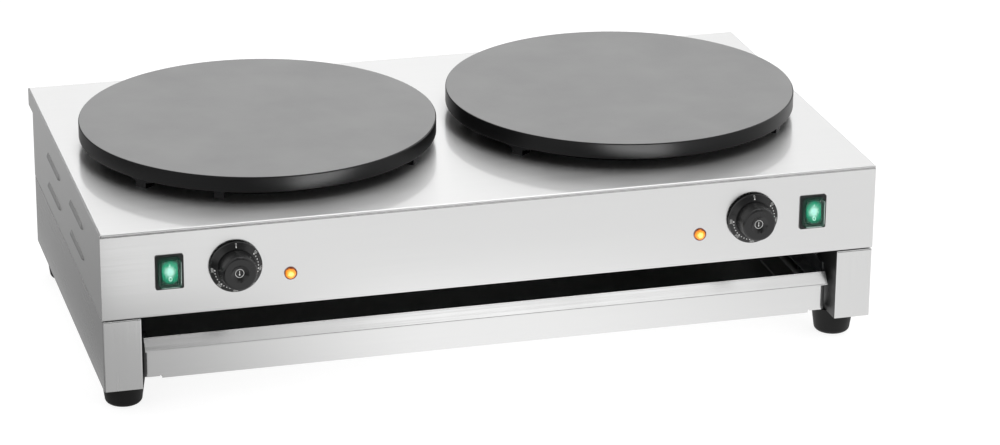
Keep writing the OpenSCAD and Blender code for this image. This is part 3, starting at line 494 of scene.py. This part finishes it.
def plate_iron(name, centre):
    """Cast plate: turned grey face on top, smooth black rim and underside."""
    mat = Finish(name, PLATE_RIM, PLATE_RIM_ROUGHNESS)
    coords = mat.coords()
    from_centre = mat.vector_math("SUBTRACT", coords, (centre[0], centre[1], 0))
    level = mat.vector_math("MULTIPLY", from_centre, (1, 1, 0))
    radius = mat.fill(mat.node("CombineXYZ"), {"X": mat.vector_math("LENGTH", level)})
    rings = mat.noise(radius.outputs[0], 1.0, (PLATE_RINGS, 1, 1), detail=2)
    blotches = mat.noise(coords, PLATE_BLOTCHES, detail=4)
    pores = mat.noise(coords, PLATE_PORES, detail=2)
    normal = mat.split(mat.node("NewGeometry").outputs["Normal"])
    top = mat.spread(normal["Z"], 0, 1, *PLATE_TOP_NORMAL)
    face = mat.mix_color(blotches, PLATE_DARK, PLATE_LIGHT)
    gloss = mat.spread(rings, *PLATE_GLOSS)
    mat.set({"Base Color": mat.mix_color(top, PLATE_RIM, face),
             "Roughness": mat.mix(top, PLATE_RIM_ROUGHNESS, gloss),
             "Metallic": mat.spread(top, 0.0, PLATE_METALLIC, 0, 1),
             "Specular IOR Level": PLATE_SPECULAR})
    height = mat.math("ADD", mat.math("MULTIPLY", rings, top), pores)
    mat.bump(height, PLATE_RELIEF, PLATE_DEPTH)
    return mat.material


def glow(name, centre, reach, colors, strength, mottle, core_to, turn_at):
    """Lit translucent plastic: a bright core that falls off to a deep rim colour."""
    mat = Finish(name, colors[-1], GLOW_ROUGHNESS)
    coords = mat.coords()
    scaled = mat.vector_math("DIVIDE", mat.vector_math("SUBTRACT", coords, centre), reach)
    cloud = mat.spread(mat.noise(coords, GLOW_CLOUDS), -mottle, mottle)
    uneven = mat.math("ADD", mat.vector_math("LENGTH", scaled), cloud)
    falloff = mat.fill(mat.node("ValToRGB"), {0: uneven})
    falloff.color_ramp.interpolation = "EASE"
    stops = falloff.color_ramp.elements
    stops[0].position = core_to
    stops.new(turn_at)
    for stop, color in zip(stops, colors):
        stop.color = (*color, 1)
    mat.set({"Base Color": falloff.outputs[0], "Emission Color": falloff.outputs[0],
             "Emission Strength": strength, "Coat Weight": GLOW_COAT,
             "Coat Roughness": GLOW_COAT_ROUGHNESS})
    return mat.material


def clear_cover(name):
    """Clear soft cover, faintly milky and grey-green, with a faint painted green glow."""
    mat = Finish(name, COVER_TONE, COVER_GLOSS[1])
    clouds = mat.noise(mat.coords(), COVER_CLOUDS)
    # The emission is painted glow standing in for the rocker's light in the cover.
    mat.set({"Roughness": mat.spread(clouds, *COVER_GLOSS), "Transmission Weight": 1.0,
             "IOR": COVER_IOR, "Emission Color": COVER_GLOW,
             "Emission Strength": COVER_GLOW_STRENGTH})
    mat.bump(clouds, COVER_RELIEF, COVER_DEPTH)
    return mat.material


def paint(material, *nodes):
    """Gives CAD nodes a material."""
    for node in nodes:
        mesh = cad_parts[node].data
        mesh.materials.clear()
        mesh.materials.append(material)


def both(name):
    return [name + "_" + side for side in SIDES]


def paint_steel():
    # The louvre hoods on the cover get painted shade.
    paint(brushed_steel("steel_cover", 0.87, 0.345, spread_gloss=0.85, polish=0.7,
                        relief=0.01, streaks=0.02, shade_hoods_beyond=LOUVRE_HOOD_X),
          "top_cover")
    paint(brushed_steel("steel_panel", 0.76, 0.22),
          "control_panel", "rear_panel", "base_rear_panel")
    # The inside faces of the legs get painted shade.
    paint(brushed_steel("steel_legs", 0.74, 0.24, upright=True, shade_inside=LEG_SHADE_X),
          *both("base_side"))
    paint(brushed_steel("steel_drawer", 0.76, 0.2), "drawer_front")
    # The tray's steel is darker than the other steel: painted shade inside the drawer.
    paint(brushed_steel("shaded_steel_tray", 0.55, 0.34), "drawer_tray")
    # The zinc coating and spangle are real; the darker tone is painted shade inside the housing.
    paint(galvanised("galvanised"), "housing_floor", *both("rail"))


def paint_small_metal():
    paint(plain_metal("zinc", (0.62, 0.61, 0.58), 0.34),
          "foot_bolts", "thermostat_screws", "floor_screws", "rear_screws", *both("shaft"))
    # Near black under the plates: the plate stands are black, and the pans, clips, screws and
    # bolts are darkened as painted shade under the plates.
    paint(plain_metal("black_and_shaded_steel", (0.025, 0.025, 0.026), 0.5, vary=0.08),
          *both("plate_legs"), *both("pan"), *both("sensor_clip"), "leg_screws", "pan_bolts")
    paint(plain_metal("sheath", (0.1, 0.11, 0.1), 0.5), *both("heater"))
    # The sensors' copper is painted near black: painted shade under the plates.
    paint(plain_metal("shaded_copper", (0.06, 0.045, 0.04), 0.5), *both("sensor"))
    paint(plain_metal("brass", (0.78, 0.58, 0.3), 0.32), "bonding_stud")


def paint_moulded():
    paint(moulded("wool", (0.7, 0.66, 0.56), 0.9, grain=260, relief=0.5), *both("insulation"))
    paint(moulded("ceramic", (0.7, 0.64, 0.54), 0.5), *both("thermostat"), *both("limiter"))
    paint(moulded("ivory", (0.8, 0.77, 0.66), 0.4), "terminal_block", *both("lamp_body"))
    paint(moulded("rubber", (0.004, 0.004, 0.004), 0.5, grain=700, relief=0.1, specular=0.25),
          *both("foot_front"), *both("foot_rear"))
    paint(moulded("knob_plastic", (0.004, 0.004, 0.0043), 0.24, grain=1400, relief=0.03,
                  specular=0.55), *both("knob"))
    paint(moulded("bezel_plastic", (0.013, 0.0135, 0.0135), 0.4, grain=1600, relief=0.1,
                  specular=0.35), *both("switch"), "cable_gland", "gland_nut")
    paint(clear_cover("clear_cover"), *both("switch_cap"))


def paint_side(side):
    """Plate, lit rocker and pilot lamp of one side, each shaded about its own middle."""
    paint(plate_iron("plate_iron_" + side, middle_of("plate_" + side)), "plate_" + side)
    middle = middle_of("rocker_" + side)
    core = (middle[0], PANEL_Y, middle[2] + ROCKER_GLOW_UP)
    paint(glow("rocker_glow_" + side, core, **ROCKER_GLOW), "rocker_" + side)
    middle, front = middle_of("lamp_lens_" + side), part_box("lamp_lens_" + side)[0][1]
    core = (middle[0] - LAMP_GLOW_LEFT, front, middle[2] + LAMP_GLOW_UP)
    paint(glow("lamp_glow_" + side, core, **LAMP_GLOW), "lamp_lens_" + side)


# ---------------------------------------------------------------- print on dials and rockers

# The knob, as in the CAD: its skirt slopes from an edge to the foot of the cap, and the
# cap's face has a ball-shaped dish. Depths are measured forwards from the panel.
KNOB_SKIRT_R, KNOB_CAP_R = 0.0285, 0.0216
SKIRT_EDGE_ROUND = 0.0006
SKIRT_EDGE_DEPTH, SKIRT_ROOT_DEPTH = 0.005, 0.008
DISH_R, DISH_DEPTH = 0.0098, 0.0036

DIAL_NUMBERS = ("0", "50", "100", "150", "200", "250", "300")
FIRST_TURN = math.radians(53)       # clockwise from 0, at the top, to 50
NUMBER_TURN = math.radians(43)      # from there to each next number
NUMBER_HEIGHT, NUMBER_CIRCLE_R = 0.0026, 0.0261
DOT_R, DOT_STEPS = 0.0008, 20
SMALL_DOT_R, SMALL_DOT_STEPS = 0.0006, 14
DOT_CIRCLE_R = 0.0237
SMALL_TURNS = 5                     # parts of a turn between two numbers
DIAL_PRINT_LIFT, DISH_PRINT_LIFT = 0.00008, 0.00004
DIAL_PRINT_THICK = 0.00006

# Bars are (half width, bottom, top).
SIGN_RING_R, SIGN_RING_STEPS = (0.0043, 0.0048), 48
SIGN_BULB_R, SIGN_BULB_STEPS, SIGN_BULB_Z = 0.0008, 16, -0.0018
SIGN_BAR = (0.00028, -0.0012, 0.0026)

# The rocker, as in the CAD: at rest it's tilted to ON about a pivot behind the panel's
# face, and its face rises from the middle to both ends.
ROCKER_TILT = math.radians(-7.5)
ROCKER_PIVOT_Y = 0.002
ROCKER_FACE_Y, ROCKER_RISE, ROCKER_HALF = 0.00585, 0.0022, 0.0126
O_MARK_Z, O_MARK_R, O_MARK_STEPS, O_MARK_TALL = -0.0072, (0.0013, 0.0019), 28, 1.15
I_MARK_BAR = (0.00025, 0.0062, 0.0092)
ROCKER_PRINT_THICK = 0.00008

LETTER_SIZE = 1.4                   # font size for a height of 1
LETTER_SWELL = 0.012                # how much bolder than the font, for a height of 1
LETTER_CURVE_STEPS = 3


def skirt_point(centre, angle, radius):
    """Point on a knob's sloping skirt, at an angle clockwise from the top, seen from in
    front."""
    edge = KNOB_SKIRT_R - SKIRT_EDGE_ROUND
    inwards = (edge - radius) / (edge - KNOB_CAP_R)
    depth = SKIRT_EDGE_DEPTH + (SKIRT_ROOT_DEPTH - SKIRT_EDGE_DEPTH) * inwards
    return Vector((centre[0] + radius * math.sin(angle), PANEL_Y - depth - DIAL_PRINT_LIFT,
                   centre[2] + radius * math.cos(angle)))


def dish_depth(radius):
    """Depth of the cap's ball-shaped dish below its face."""
    ball = (DISH_R ** 2 + DISH_DEPTH ** 2) / (2 * DISH_DEPTH)
    return math.sqrt(ball ** 2 - radius ** 2) - (ball - DISH_DEPTH)


def text_outline(text, height):
    """Filled letters as points and faces, centred, in a plane."""
    curve = bpy.data.curves.new("letters", "FONT")
    curve.body = text
    curve.size = height * LETTER_SIZE
    curve.offset = height * LETTER_SWELL
    curve.align_x = "CENTER"
    curve.align_y = "CENTER"
    curve.resolution_u = LETTER_CURVE_STEPS
    holder = bpy.data.objects.new("letters", curve)
    bpy.context.collection.objects.link(holder)
    bpy.context.view_layer.update()
    evaluated = holder.evaluated_get(bpy.context.evaluated_depsgraph_get())
    mesh = bpy.data.meshes.new_from_object(evaluated)
    points = [vertex.co.copy() for vertex in mesh.vertices]
    faces = [tuple(polygon.vertices) for polygon in mesh.polygons]
    bpy.data.objects.remove(holder)
    bpy.data.curves.remove(curve)
    bpy.data.meshes.remove(mesh)
    return points, faces


def circle(radius, steps, tall=1.0):
    """Points of a circle in a plane, or of an oval that is taller than wide."""
    turns = [i * math.tau / steps for i in range(steps)]
    return [Vector((radius * math.cos(a), radius * tall * math.sin(a), 0)) for a in turns]


def disc_outline(radius, steps):
    """Disc as points and faces, in a plane."""
    return circle(radius, steps), [tuple(range(steps))]


def bar_corners(half_width, bottom, top):
    return [Vector(corner) for corner in ((-half_width, bottom, 0), (half_width, bottom, 0),
                                          (half_width, top, 0), (-half_width, top, 0))]


class Print:
    """Thin raised print, drawn through a function that puts flat points on a surface."""

    def __init__(self):
        self.points, self.faces = [], []

    def add(self, place, outline, faces=None):
        """Adds an outline, filled as one face if its faces aren't given."""
        start = len(self.points)
        self.points.extend(place(point) for point in outline)
        for face in faces or [range(len(outline))]:
            self.faces.append(tuple(start + i for i in face))

    def add_ring(self, place, radii, steps, tall=1.0):
        """Adds a flat ring between an inner and an outer radius."""
        inner, outer = (circle(radius, steps, tall) for radius in radii)
        turned = [(i + 1) % steps for i in range(steps)]
        self.add(place, inner + outer,
                 [(i, j, steps + j, steps + i) for i, j in enumerate(turned)])

    def make(self, name, material, body, slot_name, thickness):
        """Makes the print an object, solid to both sides of its surface."""
        mesh = bpy.data.meshes.new(name)
        mesh.from_pydata(self.points, [], self.faces)
        mesh.materials.append(material)
        piece = bpy.data.objects.new(name, mesh)
        bpy.context.collection.objects.link(piece)
        thick = piece.modifiers.new("thickness", "SOLIDIFY")
        thick.thickness = thickness
        thick.offset = 0
        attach(piece, body)


def add_dial_marks(side, dot_material, number_material):
    """Numbers and dots printed on the skirt, and a heat sign in the dish of the cap."""
    centre = middle_of("knob_" + side)
    cap_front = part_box("knob_" + side)[0][1]
    dots, numbers, sign = Print(), Print(), Print()

    def stamp(layer, outline, angle, radius):
        points, faces = outline
        layer.add(lambda point: skirt_point(centre, angle + point.x / radius, radius + point.y),
                  points, faces)

    for i, number in enumerate(DIAL_NUMBERS):
        angle = FIRST_TURN + NUMBER_TURN * (i - 1) if i else 0
        stamp(numbers, text_outline(number, NUMBER_HEIGHT), angle, NUMBER_CIRCLE_R)
        stamp(dots, disc_outline(DOT_R, DOT_STEPS), angle, DOT_CIRCLE_R)
        if 0 < i < len(DIAL_NUMBERS) - 1:
            for k in range(1, SMALL_TURNS):
                stamp(dots, disc_outline(SMALL_DOT_R, SMALL_DOT_STEPS),
                      angle + NUMBER_TURN * k / SMALL_TURNS, DOT_CIRCLE_R)

    def on_dish(point, up=0.0):
        z = point.y + up
        depth = dish_depth(math.hypot(point.x, z))
        return Vector((centre[0] + point.x, cap_front + depth - DISH_PRINT_LIFT, centre[2] + z))

    sign.add_ring(on_dish, SIGN_RING_R, SIGN_RING_STEPS)
    sign.add(lambda point: on_dish(point, SIGN_BULB_Z), circle(SIGN_BULB_R, SIGN_BULB_STEPS))
    sign.add(on_dish, bar_corners(*SIGN_BAR))
    for name, layer, material in (("dial_dots_", dots, dot_material),
                                  ("dial_numbers_", numbers, number_material),
                                  ("dial_sign_", sign, dot_material)):
        layer.make(name + side, material, "dial_" + side, "ivory", DIAL_PRINT_THICK)


def add_rocker_marks(side, material):
    """Plain O ring and I bar on the two ends of a rocker."""
    pivot = Vector((middle_of("rocker_" + side)[0], PANEL_Y + ROCKER_PIVOT_Y,
                    middle_of("knob_" + side)[2]))
    marks = Print()

    def on_face(point, up=0.0):
        """Point in front of the rocker's face, tilted as the rocker is."""
        z = point.y + up
        y = -(ROCKER_FACE_Y + ROCKER_RISE * abs(z) / ROCKER_HALF)
        return pivot + Vector((point.x, y * math.cos(ROCKER_TILT) - z * math.sin(ROCKER_TILT),
                               y * math.sin(ROCKER_TILT) + z * math.cos(ROCKER_TILT)))

    marks.add_ring(lambda point: on_face(point, O_MARK_Z), O_MARK_R, O_MARK_STEPS, O_MARK_TALL)
    marks.add(on_face, bar_corners(*I_MARK_BAR))
    marks.make("rocker_print_" + side, material, "rocker_" + side, "ivory", ROCKER_PRINT_THICK)


# ---------------------------------------------------------------- build

add_camera()
add_world()
add_lights()
add_floor()
add_floor_card()
paint_steel()
paint_small_metal()
paint_moulded()
for side_name in SIDES:
    paint_side(side_name)
white_print = moulded("white_print", (0.75, 0.75, 0.74), 0.5)
grey_print = moulded("grey_print", (0.5, 0.5, 0.49), 0.5)
pale_print = glow("pale_print", (0, PANEL_Y, PRINT_GLOW_Z), **PRINT_GLOW)
for side_name in SIDES:
    add_dial_marks(side_name, white_print, grey_print)
    add_rocker_marks(side_name, pale_print)

bpy.context.scene.view_settings.view_transform = "Standard"
